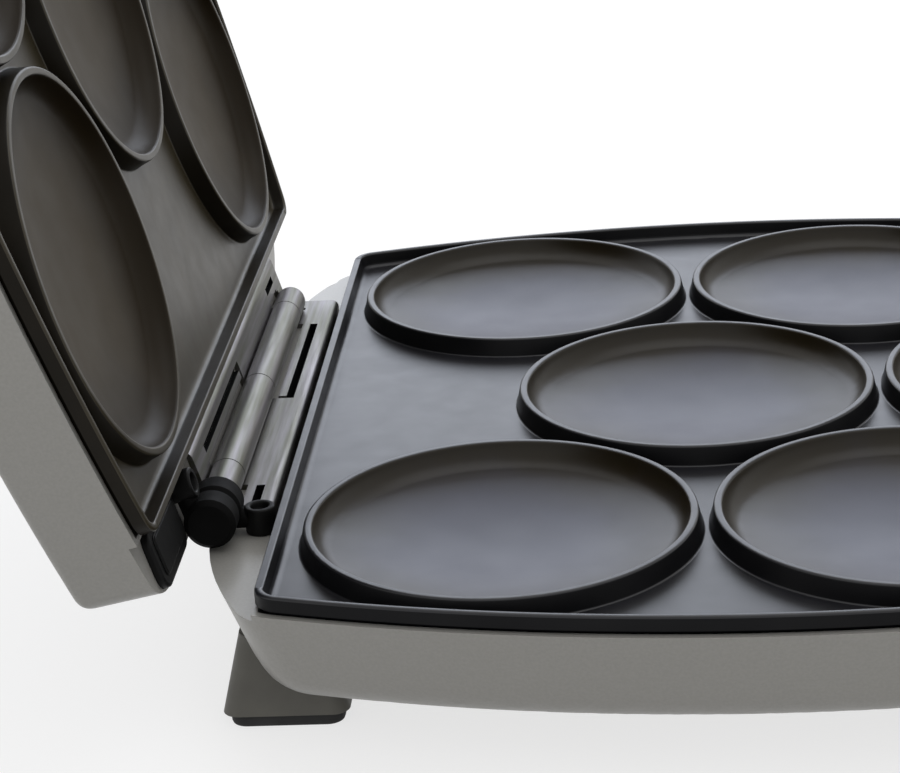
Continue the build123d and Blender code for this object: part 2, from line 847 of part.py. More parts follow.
def latch_axle(radius):
    # A bar on the latch's pivot, as long as its pin
    reach = latch_half_width + latch_side_clearance + latch_pin_reach
    return along_y(latch_pivot_x, -latch_pivot_drop, radius, -reach, reach)


def latch():
    # A swinging catch whose tooth hooks under the base's handle
    arm_x = handle_tip_x + latch_front_clearance
    arm_front = arm_x + latch_thickness
    boss_top = -latch_pivot_drop - latch_boss_radius
    boss_bottom = -latch_pivot_drop + latch_boss_radius
    tooth_inner = handle_drop + latch_catch_gap
    tooth_outer = tooth_inner + latch_tooth_height
    with BuildPart() as catch:
        with BuildSketch(Plane.XZ):
            with BuildLine():
                Polyline(
                    (latch_pivot_x, boss_top),
                    (arm_front, boss_top),
                    (arm_front, tooth_outer),
                    (arm_x - latch_tooth, tooth_outer),
                    (arm_x - latch_tooth, tooth_inner),
                    (arm_x, tooth_inner),
                    (arm_x, boss_bottom),
                    (latch_pivot_x, boss_bottom),
                    close=True,
                )
            make_face()
            with Locations((latch_pivot_x, -latch_pivot_drop)):
                Circle(latch_boss_radius)
        extrude(amount=latch_half_width, both=True)
        fillet(catch.edges().filter_by(Axis.Y).group_by(Axis.X)[-1], latch_edge)
        add(latch_axle(latch_pin_radius + pin_clearance), mode=Mode.SUBTRACT)
    return catch.part


def lid_trim_panel():
    # A thin pillow-edged panel that hides the lid's screws
    top = trim_recess - lid_depth
    with BuildPart() as panel:
        add(upright(plate_outline(trim_inset), top, top - trim_thickness))
        chamfer(panel.faces().sort_by(Axis.Z)[0].edges(), trim_edge)
        lamps = dots(lamp_places.values(), lamp_radius + lamp_clearance)
        add(upright(lamps, top, top - trim_thickness), mode=Mode.SUBTRACT)
    return panel.part


def lamp_lens(x, y):
    # A domed lens held by a flange inside the lid
    floor = wall - lid_depth
    lens_end = trim_recess - lid_depth - trim_thickness - lamp_stand
    with BuildPart() as lens:
        add(upright(dots([(x, y)], lamp_flange_radius), floor + lamp_flange_height, floor))
        add(upright(dots([(x, y)], lamp_radius), floor, lens_end))
        chamfer(lens.faces().sort_by(Axis.Z)[0].edges(), lamp_stand)
    return lens.part


def thermostat():
    # A snap-disc thermostat against the plate's underside, with two blades
    middle = [(thermostat_x, 0)]
    cap_top = slab_bottom - thermostat_base_height
    cap_bottom = cap_top - thermostat_cap_height
    with BuildPart() as sensor:
        add(upright(dots(middle, thermostat_radius), slab_bottom, cap_top))
        add(upright(dots(middle, thermostat_cap_radius), cap_top, cap_bottom))
        with BuildSketch(Plane.XY.offset(cap_bottom)):
            with Locations((thermostat_x, 0)):
                with GridLocations(0, 2 * blade_offset, 1, 2):
                    Rectangle(blade_width, blade_sheet)
        extrude(amount=-blade_length)
    return sensor.part


def thermal_fuse():
    # A small can with a lead at each end, clipped against the plate
    fuse_z = slab_bottom - fuse_radius
    near = fuse_y - fuse_length / 2
    far = fuse_y + fuse_length / 2
    with BuildPart() as fuse:
        add(along_y(fuse_x, fuse_z, fuse_radius, near, far))
        add(along_y(fuse_x, fuse_z, fuse_lead_radius, near - fuse_lead_length, far + fuse_lead_length))
    return fuse.part


def terminal_block():
    # A three-way block on the base's floor
    floor = wall - base_depth
    with BuildPart() as block:
        with BuildSketch(Plane.XY.offset(floor)):
            with Locations((block_x, block_y)):
                Rectangle(block_length, block_width)
        extrude(amount=block_height)
        with Locations((block_x, block_y, floor + block_height)):
            with GridLocations(0, block_pitch, 1, block_ways):
                Hole(block_well_radius, block_well_depth)
    return block.part


base_boot = (-boot_start - boot_length, -boot_start)
lid_boot = (boot_start + boot_length + boot_gap, boot_start + 2 * boot_length + boot_gap)
base_pieces = {
    "base_housing": base_housing(),
    "base_grid_plate": grid_plate(),
    "base_heating_element": heating_element(),
    "base_element_straps": element_straps(),
    "base_reflector": reflector(),
    "base_plate_screws": plate_screws(base_shell),
    "base_handle": handle_grip(),
    "base_handle_screws": handle_screws(),
    "base_hinge_leaf": hinge_leaf(base_shell),
    "base_leaf_screws": leaf_screws(base_shell),
    "hinge_pin": hinge_pin(),
    "base_wire_boot": wire_boot(*base_boot),
    "base_wire_gland": wire_gland(*base_boot),
    "leg_screws": leg_screws(),
    "leg_pads": leg_pads(),
    "cord_gland": cord_gland(),
    "thermostat": thermostat(),
    "thermal_fuse": thermal_fuse(),
    "terminal_block": terminal_block(),
}
for name, (x, y) in leg_places.items():
    base_pieces[name] = leg(x, y)
lid_pieces = {
    "lid_housing": lid_housing(),
    "lid_grid_plate": grid_plate(),
    "lid_heating_element": heating_element(),
    "lid_element_straps": element_straps(),
    "lid_reflector": reflector(),
    "lid_plate_screws": plate_screws(lid_shell),
    "lid_handle": lid_handle(),
    "lid_handle_screws": handle_screws(),
    "lid_hinge_leaf": hinge_leaf(lid_shell),
    "lid_leaf_screws": leaf_screws(lid_shell),
    "lid_wire_boot": wire_boot(*lid_boot),
    "lid_wire_gland": wire_gland(*lid_boot),
    "lid_trim_panel": lid_trim_panel(),
    "latch_pin": latch_axle(latch_pin_radius),
    "latch": latch().rotate(Axis((latch_pivot_x, 0, -latch_pivot_drop), (0, 1, 0)), latch_opening),
}
for name, (x, y) in lamp_places.items():
    lid_pieces[name] = lamp_lens(x, y)

# The lid is turned over and opened about the hinge; the machine then stands on its pads
turned_over = Location((0, 0, 0), (180, 0, 0))
opened = Location((0, 0, 0), (0, -lid_opening, 0))
pieces = dict(base_pieces)
for name, piece in lid_pieces.items():
    pieces[name] = piece.moved(opened * turned_over)
middle_x = Compound(children=[piece.moved(Location()) for piece in pieces.values()]).bounding_box().center().X
stand = Location((-middle_x, 0, hinge_height))

os.makedirs("parts", exist_ok=True)
for name, piece in pieces.items():
    placed = piece.moved(stand)
    placed.label = name
    export_step(placed, f"parts/{name}.step")

latch_pivot = stand * opened * turned_over * Location((latch_pivot_x, 0, -latch_pivot_drop))
print("lid hinge at", *stand.position)
print("latch pivot at", *latch_pivot.position)
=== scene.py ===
import json
import math

import bmesh
import bpy
import numpy as np
from mathutils import Matrix, Vector
from mathutils.geometry import delaunay_2d_cdt


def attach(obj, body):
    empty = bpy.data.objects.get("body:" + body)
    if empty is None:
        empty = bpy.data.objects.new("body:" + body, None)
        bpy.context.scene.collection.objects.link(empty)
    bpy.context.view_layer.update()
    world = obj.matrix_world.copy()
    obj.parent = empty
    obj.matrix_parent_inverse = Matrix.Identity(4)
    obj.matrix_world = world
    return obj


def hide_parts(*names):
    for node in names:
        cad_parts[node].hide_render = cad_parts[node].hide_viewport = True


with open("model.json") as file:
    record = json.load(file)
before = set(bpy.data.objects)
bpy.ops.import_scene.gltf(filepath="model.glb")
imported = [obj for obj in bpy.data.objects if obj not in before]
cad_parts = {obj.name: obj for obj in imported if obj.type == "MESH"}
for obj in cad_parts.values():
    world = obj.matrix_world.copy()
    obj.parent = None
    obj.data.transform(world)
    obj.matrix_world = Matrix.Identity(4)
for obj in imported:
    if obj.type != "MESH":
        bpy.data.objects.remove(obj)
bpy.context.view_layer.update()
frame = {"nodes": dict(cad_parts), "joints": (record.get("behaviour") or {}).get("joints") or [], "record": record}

# Lengths are millimetres unless a comment names another unit; MM turns them into Blender's metres
MM = 0.001
joints = {joint["name"]: joint for joint in frame["joints"]}
hinge = Vector(joints["lid_hinge"]["pos_m"])
lid_opening = math.radians(joints["lid_hinge"]["range_deg"][1])

# Each half is drawn shut, below the hinge axis: the axis is Y, and +X runs to the front
base_place = Matrix.Translation(hinge)
lid_place = base_place @ Matrix.Rotation(-lid_opening, 4, "Y") @ Matrix.Rotation(math.pi, 4, "X")

# Outline of a grid plate
plate_rear = 14.8
plate_front = 266.0
belly_x = 130.0
belly_half = 139.4
side_bow = 390.0
front_corner_x = 220.0
front_corner_radius = 34.0
rear_corner_radius = 7.0
least_corner_radius = 0.3

# Lip, flat, skirt and slab of a grid plate
lip_top = -0.8
lip_width = 2.0
lip_foot = 0.6
lip_foot_reach = 2.0
lip_round = 0.8
lip_foot_round = 1.6
rear_lip_top = -3.4
rear_lip_zone = 5.0
rear_lip_blend = 6.0
flat_top = -5.15
skirt_bottom = -5.0
skirt_round = 0.8
slab_bottom = -9.15
slab_inset = 1.3
slab_draft_run = 1.5

# Ring pans of a grid plate
ring_radius = 46.0
ring_pitch = 95.5
ring_top = -0.15
ring_draft = 1.1
middle_ring_x = 116.0
rim_width = 1.9
rim_round = 0.75
foot_round = 0.55
foot_reach = 0.5
pan_mouth = ring_radius - rim_width
pan_wall_draft = 1.2
pan_wall_depth = 4.8
pan_depth = 9.2
pan_thickness = 3.2
floor_round = 6.0
floor_reach = 4.2
bulge_radius = 33.0
bulge_round = 2.0
bulge_bottom = -pan_depth - pan_thickness
crease_blend = 0.6
least_blend = 1e-6

# Steps in which curves are drawn; a bend of at least wide_bend has twice bend_steps
ring_steps = 128
bulge_steps = 64
floor_rings = 14
side_steps = 48
front_steps = 40
corner_steps = 12
bend_steps = 4
wide_bend = 2.0

# A grid plate's finishes by index: the coating, the pans' coating with painted shade and sheen, and a darker copy
# as painted shade on steep walls; a face is a wall if its normal's upward share is under steep_wall
coat_index = 0
pan_index = 1
painted_shade_wall_index = 2
steep_wall = 0.55

# A value at each point of a grid plate: nought outside the pans, and one at a pan's centre; it steers the pans'
# painted shade and painted sheen
dish_layer_name = "dish"

# Faces cut into triangles: points this near are one, and inside_only keeps to the outermost loop
cut_reach = 1e-5
inside_only = 1

# Copies of CAD meshes: points within weld_reach, in metres, are one, and flat neighbours are joined
weld_reach = 1e-6
flat_angle = math.radians(0.5)

# Edges over edge_angle are rounded in so many segments, and what stays over sharp_angle is drawn sharp
edge_angle = math.radians(30)
edge_segments = 2
sharp_angle = math.radians(50)


def rounded(points, radii):
    """A polyline whose inner corners are turned into arcs of the given radii."""
    out = [Vector(points[0])]
    for before, corner, after, radius in zip(points, points[1:], points[2:], radii):
        corner = Vector(corner)
        if radius == 0:
            out.append(corner)
            continue
        steps = bend_steps if radius < wide_bend else 2 * bend_steps
        back = (Vector(before) - corner).normalized()
        ahead = (Vector(after) - corner).normalized()
        half = back.angle(ahead) / 2
        reach = radius / math.tan(half)
        centre = corner + (back + ahead).normalized() * radius / math.sin(half)
        start = corner + back * reach - centre
        turn = math.pi - 2 * half
        sign = 1 if start.x * ahead.y - start.y * ahead.x > 0 else -1
        for step in range(steps + 1):
            angle = sign * turn * step / steps
            out.append(centre + Matrix.Rotation(angle, 2) @ start)
    out.append(Vector(points[-1]))
    return out


def arc_points(centre, start, end, steps):
    """Points on the shorter arc from start to end, both included."""
    first = math.atan2(start.y - centre.y, start.x - centre.x)
    last = math.atan2(end.y - centre.y, end.x - centre.x)
    sweep = (last - first + math.pi) % (2 * math.pi) - math.pi
    radius = (start - centre).length
    angles = [first + sweep * step / steps for step in range(steps + 1)]
    return [centre + radius * Vector((math.cos(angle), math.sin(angle))) for angle in angles]


def circle_outline(centre, radius, steps=ring_steps):
    angles = [2 * math.pi * step / steps for step in range(steps)]
    x, y = centre
    return [Vector((x + radius * math.cos(angle), y + radius * math.sin(angle))) for angle in angles]


def circles_meet(centre_a, radius_a, centre_b, radius_b):
    """The meeting point of two circles that lies on the +Y side."""
    gap = centre_b - centre_a
    along = (radius_a**2 - radius_b**2 + gap.length_squared) / (2 * gap.length)
    across = math.sqrt(radius_a**2 - along**2)
    unit = gap.normalized()
    normal = Vector((-unit.y, unit.x))
    meets = [centre_a + unit * along + normal * across * side for side in (1, -1)]
    return max(meets, key=lambda point: point.y)


def plate_outline(inset):
    """The plate's outline, moved inwards: a straight hinge edge, bowed sides and a bowed front."""
    side_centre = Vector((belly_x, belly_half - side_bow))
    corner_y = side_centre.y + math.sqrt(side_bow**2 - (front_corner_x - belly_x) ** 2)
    reach = plate_front - front_corner_x
    front_bow = (reach**2 + corner_y**2) / (2 * reach)
    front_centre = Vector((plate_front - front_bow, 0))
    side_radius = side_bow - inset
    front_radius = front_bow - inset
    rear_x = plate_rear + inset
    rear_round = max(rear_corner_radius - inset, least_corner_radius)
    front_round = front_corner_radius - inset
    rear_mid_x = rear_x + rear_round
    rear_mid_rise = math.sqrt((side_radius - rear_round) ** 2 - (rear_mid_x - belly_x) ** 2)
    rear_mid = Vector((rear_mid_x, side_centre.y + rear_mid_rise))
    rear_start = Vector((rear_x, rear_mid.y))
    rear_end = side_centre + (rear_mid - side_centre).normalized() * side_radius
    side_reach = side_radius - front_round
    front_reach = front_radius - front_round
    front_mid = circles_meet(side_centre, side_reach, front_centre, front_reach)
    front_start = side_centre + (front_mid - side_centre).normalized() * side_radius
    front_end = front_centre + (front_mid - front_centre).normalized() * front_radius
    front_tip = Vector((plate_front - inset, 0))
    half = arc_points(rear_mid, rear_start, rear_end, corner_steps)
    half += arc_points(side_centre, rear_end, front_start, side_steps)[1:]
    half += arc_points(front_mid, front_start, front_end, corner_steps)[1:]
    half += arc_points(front_centre, front_end, front_tip, front_steps // 2)[1:]
    mirrored = [Vector((p.x, -p.y)) for p in reversed(half[:-1])]
    return half + mirrored


def linked(name, data):
    """A new object in the scene that shows the given data."""
    made = bpy.data.objects.new(name, data)
    bpy.context.scene.collection.objects.link(made)
    return made


def mesh_from(name, bm):
    """A mesh with what the bmesh holds, which is then freed."""
    mesh = bpy.data.meshes.new(name)
    bm.to_mesh(mesh)
    bm.free()
    return mesh


def new_object(name, bm, place):
    """An object made from a bmesh in millimetres, put in place and smooth but for its sharp edges."""
    bmesh.ops.scale(bm, vec=(MM, MM, MM), verts=bm.verts)
    bmesh.ops.transform(bm, matrix=place, verts=bm.verts)
    bmesh.ops.recalc_face_normals(bm, faces=bm.faces)
    mesh = mesh_from(name, bm)
    mesh.shade_smooth()
    mesh.set_sharp_from_angle(angle=sharp_angle)
    return linked(name, mesh)


def apply_modifiers(piece):
    graph = bpy.context.evaluated_depsgraph_get()
    mesh = bpy.data.meshes.new_from_object(piece.evaluated_get(graph))
    piece.modifiers.clear()
    piece.data = mesh


def weigh_normals(piece):
    """Flat faces keep flat shading beside their rounded edges."""
    modifier = piece.modifiers.new("weighted", "WEIGHTED_NORMAL")
    modifier.keep_sharp = True
    apply_modifiers(piece)


def loop_verts(bm, outline, z):
    return [bm.verts.new((p.x, p.y, z)) for p in outline]


def bridge(bm, lower, upper):
    """A ring of four-sided faces between two loops of as many points."""
    count = len(lower)
    for i in range(count):
        j = (i + 1) % count
        bm.faces.new((lower[i], lower[j], upper[j], upper[i]))


# Centres of the rings: two on the plate's middle line, and two on each side of it
ring_rows = ring_pitch * math.sqrt(3) / 2
ring_places = [
    (middle_ring_x, 0),
    (middle_ring_x + ring_pitch, 0),
    (middle_ring_x - ring_pitch / 2, ring_rows),
    (middle_ring_x + ring_pitch / 2, ring_rows),
    (middle_ring_x - ring_pitch / 2, -ring_rows),
    (middle_ring_x + ring_pitch / 2, -ring_rows),
]


def pan_profile():
    """Radius and height of a ring pan, from its wall's foot over its rim and across its dished floor."""
    wall_edge = pan_mouth - pan_wall_draft
    sag = pan_depth - pan_wall_depth
    bow = (wall_edge**2 + sag**2) / (2 * sag)
    slope = math.asin(wall_edge / bow)
    floor_edge = wall_edge - floor_reach * math.cos(slope)
    wall = rounded(
        [
            (ring_radius + ring_draft + foot_reach, flat_top),
            (ring_radius + ring_draft, flat_top),
            (ring_radius, ring_top),
            (pan_mouth, ring_top),
            (wall_edge, -pan_wall_depth),
            (floor_edge, -pan_wall_depth - floor_reach * math.sin(slope)),
        ],
        [foot_round, rim_round, rim_round, floor_round],
    )[:-1]
    last = wall[-1].x
    radii = [last * (1 - step / floor_rings) for step in range(1, floor_rings)]
    return wall + [Vector((r, bow - pan_depth - math.sqrt(bow**2 - r**2))) for r in radii]


def lip_profile():
    """Inset and height of the plate's edge, from its outer wall over the lip and down to the flat."""
    lip_inner = lip_width + lip_foot
    return rounded(
        [
            (0, skirt_bottom),
            (0, lip_top),
            (lip_width, lip_top),
            (lip_inner, flat_top),
            (lip_inner + lip_foot_reach, flat_top),
        ],
        [lip_round, lip_round, lip_foot_round],
    )[1:]


def insets_of(points, outline):
    """How far each point lies inside the outline."""
    starts = np.array([(p.x, p.y) for p in outline])
    runs = np.roll(starts, -1, axis=0) - starts
    lengths = (runs**2).sum(axis=1)
    nearest = np.full(len(points), np.inf)
    for start, run, length in zip(starts, runs, lengths):
        offset = points - start
        along = np.clip(offset @ run / length, 0, 1)
        nearest = np.minimum(nearest, ((offset - along[:, None] * run) ** 2).sum(axis=1))
    return np.sqrt(nearest)


def triangulated(loops, lone_points=()):
    """Points and triangles inside the outermost of closed loops, and each given point's new place."""
    points = []
    edges = []
    for loop in loops:
        first = len(points)
        points += loop
        edges += [(first + i, first + (i + 1) % len(loop)) for i in range(len(loop))]
    points += [Vector(point) for point in lone_points]
    made, _, faces, origins, _, _ = delaunay_2d_cdt(points, edges, [], inside_only, cut_reach)
    place_of = {origin: index for index, group in enumerate(origins) for origin in group}
    return made, faces, place_of


def higher(lip_rise, pan_rise):
    """The higher of two surfaces, with a small round in the crease between them."""
    blend = np.clip(np.minimum(lip_rise, pan_rise), 0, crease_blend)
    near = np.clip(blend - np.abs(lip_rise - pan_rise), 0, None)
    return np.maximum(lip_rise, pan_rise) + near**2 / (4 * np.maximum(blend, least_blend))


def low_along_hinge(flat, heights):
    """The heights with the lip cut low along the hinge, and an eased rise at both ends of the cut."""
    side_rise = math.sqrt(side_bow**2 - (plate_rear - belly_x) ** 2)
    rear_half = belly_half - side_bow + side_rise - rear_corner_radius
    share = np.clip((np.abs(flat[:, 1]) - rear_half) / rear_lip_blend + 0.5, 0, 1)
    eased_share = share**2 * (3 - 2 * share)
    cap = rear_lip_top + (lip_top - rear_lip_top) * eased_share
    in_zone = flat[:, 0] < plate_rear + rear_lip_zone
    return np.where(in_zone, np.minimum(heights, cap), heights)


def grid_plate_top():
    """Points, heights, triangles and dish shares of the upper face, and the loop round its edge."""
    pans = pan_profile()
    lip = lip_profile()
    lip_loops = [plate_outline(point.x) for point in lip]
    pan_loops = [circle_outline(centre, point.x) for centre in ring_places for point in pans]
    made, faces, place_of = triangulated(lip_loops + pan_loops, ring_places)
    flat = np.array([(p.x, p.y) for p in made])
    insets = insets_of(flat, plate_outline(0))
    first = 0
    for loop, point in zip(lip_loops, lip):
        insets[[place_of[first + i] for i in range(len(loop))]] = point.x
        first += len(loop)
    lip_rise = np.interp(insets, [p.x for p in lip], [p.y - flat_top for p in lip])
    distances = np.min([np.hypot(flat[:, 0] - x, flat[:, 1] - y) for x, y in ring_places], axis=0)
    pan_radii = [0] + [p.x for p in reversed(pans)]
    pan_rises = [-pan_depth - flat_top] + [p.y - flat_top for p in reversed(pans)]
    pan_rise = np.interp(distances, pan_radii, pan_rises)
    in_pan = distances < pan_mouth
    heights = flat_top + np.where(in_pan, pan_rise, higher(lip_rise, pan_rise))
    heights = low_along_hinge(flat, heights)
    dish_shares = np.clip(1 - distances / pan_mouth, 0, 1)
    edge_loop = [place_of[i] for i in range(len(lip_loops[0]))]
    return flat, heights, faces, dish_shares, edge_loop


def close_underside(bm, rim, outline):
    """The slab's flat underside from its rim to the pans, and the pans' bulges below it."""
    openings = [circle_outline(centre, bulge_radius, bulge_steps) for centre in ring_places]
    made, faces, place_of = triangulated([outline] + openings)
    verts = {place_of[i]: vert for i, vert in enumerate(rim)}
    for i, point in enumerate(made):
        if i not in verts:
            verts[i] = bm.verts.new((point.x, point.y, slab_bottom))
    for face in faces:
        middle = sum((made[i] for i in face), Vector((0, 0))) / 3
        if min((middle - Vector(centre)).length for centre in ring_places) > bulge_radius:
            bm.faces.new([verts[i] for i in face])
    bulge = rounded(
        [
            (bulge_radius, slab_bottom),
            (bulge_radius - pan_thickness, bulge_bottom),
            (0, bulge_bottom),
        ],
        [bulge_round],
    )[1:-1]
    for index, centre in enumerate(ring_places):
        first = len(outline) + index * bulge_steps
        last = [verts[place_of[first + i]] for i in range(bulge_steps)]
        for point in bulge:
            row = loop_verts(bm, circle_outline(centre, point.x, bulge_steps), point.y)
            bridge(bm, row, last)
            last = row
        bm.faces.new(last)


def grid_plate(name, place, plate_finishes_and_shades):
    """One cast plate: six dished ring pans inside a raised lip, with its bulged underside."""
    bm = bmesh.new()
    dish_layer = bm.verts.layers.float.new(dish_layer_name)
    flat, heights, faces, dish_shares, edge_loop = grid_plate_top()
    verts = [bm.verts.new((x, y, z)) for (x, y), z in zip(flat, heights)]
    for vert, share in zip(verts, dish_shares):
        vert[dish_layer] = share
    for face in faces:
        made = bm.faces.new([verts[i] for i in face])
        # Faces in the pans take the coating with painted shade at the walls and painted sheen at the centre
        made.material_index = pan_index if dish_shares[list(face)].max() > 0 else coat_index
    skirt = rounded(
        [
            (0, lip_top),
            (0, skirt_bottom),
            (slab_inset, skirt_bottom),
            (slab_inset + slab_draft_run, slab_bottom),
        ],
        [skirt_round, 0],
    )
    last = [verts[i] for i in edge_loop]
    for point in skirt[1:]:
        row = loop_verts(bm, plate_outline(point.x), point.y)
        bridge(bm, row, last)
        last = row
    close_underside(bm, last, plate_outline(skirt[-1].x))
    bm.normal_update()
    # Steep faces outside the pans take a darker copy of the coating: painted shade
    for face in bm.faces:
        if face.material_index == coat_index and abs(face.normal.z) < steep_wall:
            face.material_index = painted_shade_wall_index
    piece = new_object(name, bm, place)
    for finish in plate_finishes_and_shades:
        piece.data.materials.append(finish)
    weigh_normals(piece)
    return piece


# The hinge's slots through a leaf and into the housing's floor under it
slot_start = 7.0
slot_end = 8.4
slot_limit = 85.0
slot_widening = 0.7
slot_reach = 0.05
leaf_top = -2.9
leaf_foot = -4.3
slot_floor = -7.3


def open_slots(bm, place, top, bottom):
    """Widens the hinge's slots a little on the plate's side, and gives the faces inside them a painted shade."""
    half_frame = Matrix.Scale(1 / MM, 4) @ place.inverted()
    outwards = place.to_3x3() @ Vector((slot_widening * MM, 0, 0))
    for vert in bm.verts:
        point = half_frame @ vert.co
        if abs(point.x - slot_end) < slot_reach and bottom - slot_reach < point.z < top + slot_reach:
            vert.co += outwards
    low = (slot_start - slot_reach, -slot_limit, bottom - slot_reach)
    high = (slot_end + slot_widening + slot_reach, slot_limit, top + slot_reach)
    for face in bm.faces:
        corners = [half_frame @ vert.co for vert in face.verts]
        inside = all(a < value < b for corner in corners for a, value, b in zip(low, corner, high))
        face_bottom = min(corner.z for corner in corners)
        face_top = max(corner.z for corner in corners)
        upright = face_top - face_bottom > slot_reach
        lowest = face_top < bottom + slot_reach
        face.material_index = int(inside and (upright or lowest))


def eased(node, name, width, finishes_and_slot_shade, slots=None):
    """A copy of a CAD piece whose sharp edges are rounded over the given width."""
    bm = bmesh.new()
    bm.from_mesh(frame["nodes"][node].data)
    bmesh.ops.remove_doubles(bm, verts=bm.verts, dist=weld_reach)
    bmesh.ops.dissolve_limit(bm, angle_limit=flat_angle, verts=bm.verts, edges=bm.edges)
    if slots:
        open_slots(bm, *slots)
    mesh = mesh_from(name, bm)
    mesh.shade_smooth()
    for finish in finishes_and_slot_shade:
        mesh.materials.append(finish)
    piece = linked(name, mesh)
    modifier = piece.modifiers.new("eased", "BEVEL")
    modifier.width = width * MM
    modifier.segments = edge_segments
    modifier.limit_method = "ANGLE"
    modifier.angle_limit = edge_angle
    apply_modifiers(piece)
    piece.data.set_sharp_from_angle(angle=sharp_angle)
    weigh_normals(piece)
    return piece


# Materials: noise scales and grains are in cycles per metre, and a span is a value's least and most
mottle_detail = 4.0
patch_detail = 3.0
grain_detail = 2.0
whole_span = (0.0, 1.0)
mottle_span = (0.35, 0.65)
gloss_span = (0.3, 0.7)
# Where the pans' painted shade at the wall turns into their painted sheen
painted_shade_span = (0.02, 0.6)
patch_span = (-0.25, 0.25)
patch_scale = 35.0
dish_gloss_scale = 90.0
gloss_pace = 2.3
coating_grain = 1800.0
plastic_grain = 1500.0
paint_grain = 5000.0
zinc_grain = 4000.0
fine_bump = 0.08
bump_height = 0.05 * MM

# Brushing along the hinge: the coordinate on its axis is shrunk, which draws the noise out
along_hinge = (1, 0.05, 1)


def grey(level):
    return (level, level, level)


def shader(name, colour, roughness, metallic=0.0, specular=0.5, ior=1.5):
    """A node material with a Principled shader, and its node tree."""
    material = bpy.data.materials.new(name)
    material.use_nodes = True
    tree = material.node_tree
    principled = tree.nodes["Principled BSDF"]
    principled.inputs["Base Color"].default_value = (*colour, 1)
    principled.inputs["Roughness"].default_value = roughness
    principled.inputs["Metallic"].default_value = metallic
    principled.inputs["Specular IOR Level"].default_value = specular
    principled.inputs["IOR"].default_value = ior
    return material, tree, principled


def noise(tree, scale, detail=mottle_detail, stretch=None):
    """A noise value in object space, whose coordinates are first multiplied by stretch."""
    coordinates = tree.nodes.new("ShaderNodeTexCoord").outputs["Object"]
    if stretch:
        mapping = tree.nodes.new("ShaderNodeMapping")
        mapping.inputs["Scale"].default_value = stretch
        tree.links.new(coordinates, mapping.inputs["Vector"])
        coordinates = mapping.outputs["Vector"]
    texture = tree.nodes.new("ShaderNodeTexNoise")
    texture.inputs["Scale"].default_value = scale
    texture.inputs["Detail"].default_value = detail
    tree.links.new(coordinates, texture.inputs["Vector"])
    return texture.outputs["Fac"]


def carried(tree, value, old_span, new_span):
    """A value carried from one span to another and held inside it."""
    node = tree.nodes.new("ShaderNodeMapRange")
    sockets = ("From Min", "From Max", "To Min", "To Max")
    for socket, number in zip(sockets, (*old_span, *new_span)):
        node.inputs[socket].default_value = number
    tree.links.new(value, node.inputs["Value"])
    return node.outputs["Result"]


def vary_colour(tree, principled, value, colours, span, interpolation="LINEAR"):
    """The first colour up to the span's start, the second from its end on, and a blend between."""
    ramp = tree.nodes.new("ShaderNodeValToRGB")
    ramp.color_ramp.interpolation = interpolation
    for element, position, colour in zip(ramp.color_ramp.elements, span, colours):
        element.position = position
        element.color = (*colour, 1)
    tree.links.new(value, ramp.inputs["Fac"])
    tree.links.new(ramp.outputs["Color"], principled.inputs["Base Color"])


def vary_roughness(tree, principled, value, rough):
    tree.links.new(carried(tree, value, gloss_span, rough), principled.inputs["Roughness"])


def add_bump(tree, principled, value, strength):
    bump = tree.nodes.new("ShaderNodeBump")
    bump.inputs["Strength"].default_value = strength
    bump.inputs["Distance"].default_value = bump_height
    tree.links.new(value, bump.inputs["Height"])
    tree.links.new(bump.outputs["Normal"], principled.inputs["Normal"])


def satin(
    name,
    dark,
    light,
    rough,
    metallic=0.0,
    mottle=60.0,
    grain=2500.0,
    bump=fine_bump,
    ior=1.5,
    stretch=None,
):
    """A finish with slow colour variation, uneven gloss and a fine grain."""
    material, tree, principled = shader(name, light, rough[0], metallic, ior=ior)
    mottling = noise(tree, mottle, stretch=stretch)
    vary_colour(tree, principled, mottling, (dark, light), mottle_span)
    vary_roughness(tree, principled, noise(tree, mottle * gloss_pace, stretch=stretch), rough)
    add_bump(tree, principled, noise(tree, grain, grain_detail, stretch), bump)
    return material


def coating(name, dark, light, rough, ior):
    """Dark non-stick coating outside the pans."""
    return satin(name, dark, light, rough, grain=coating_grain, ior=ior)


def pan_coating_with_painted_shade(name, edge, middle, rough, ior):
    """A pan's coating with painted light: edge is a painted shade at its wall, which turns in soft patches into
    middle, a painted sheen at its centre.
    """
    material, tree, principled = shader(name, middle, rough[0], ior=ior)
    share = tree.nodes.new("ShaderNodeAttribute")
    share.attribute_name = dish_layer_name
    patches = carried(tree, noise(tree, patch_scale, patch_detail), whole_span, patch_span)
    patched = tree.nodes.new("ShaderNodeMath")
    patched.operation = "ADD"
    patched.use_clamp = True
    tree.links.new(share.outputs["Fac"], patched.inputs[0])
    tree.links.new(patches, patched.inputs[1])
    shade_and_sheen = (edge, middle)
    vary_colour(tree, principled, patched.outputs["Value"], shade_and_sheen, painted_shade_span, "EASE")
    vary_roughness(tree, principled, noise(tree, dish_gloss_scale), rough)
    add_bump(tree, principled, noise(tree, coating_grain, grain_detail), fine_bump)
    return material


def phenolic(name):
    """Black moulded plastic with an open grain."""
    return satin(
        name,
        dark=grey(0.014),
        light=grey(0.020),
        rough=(0.42, 0.5),
        grain=plastic_grain,
        bump=0.2,
        ior=1.42,
    )


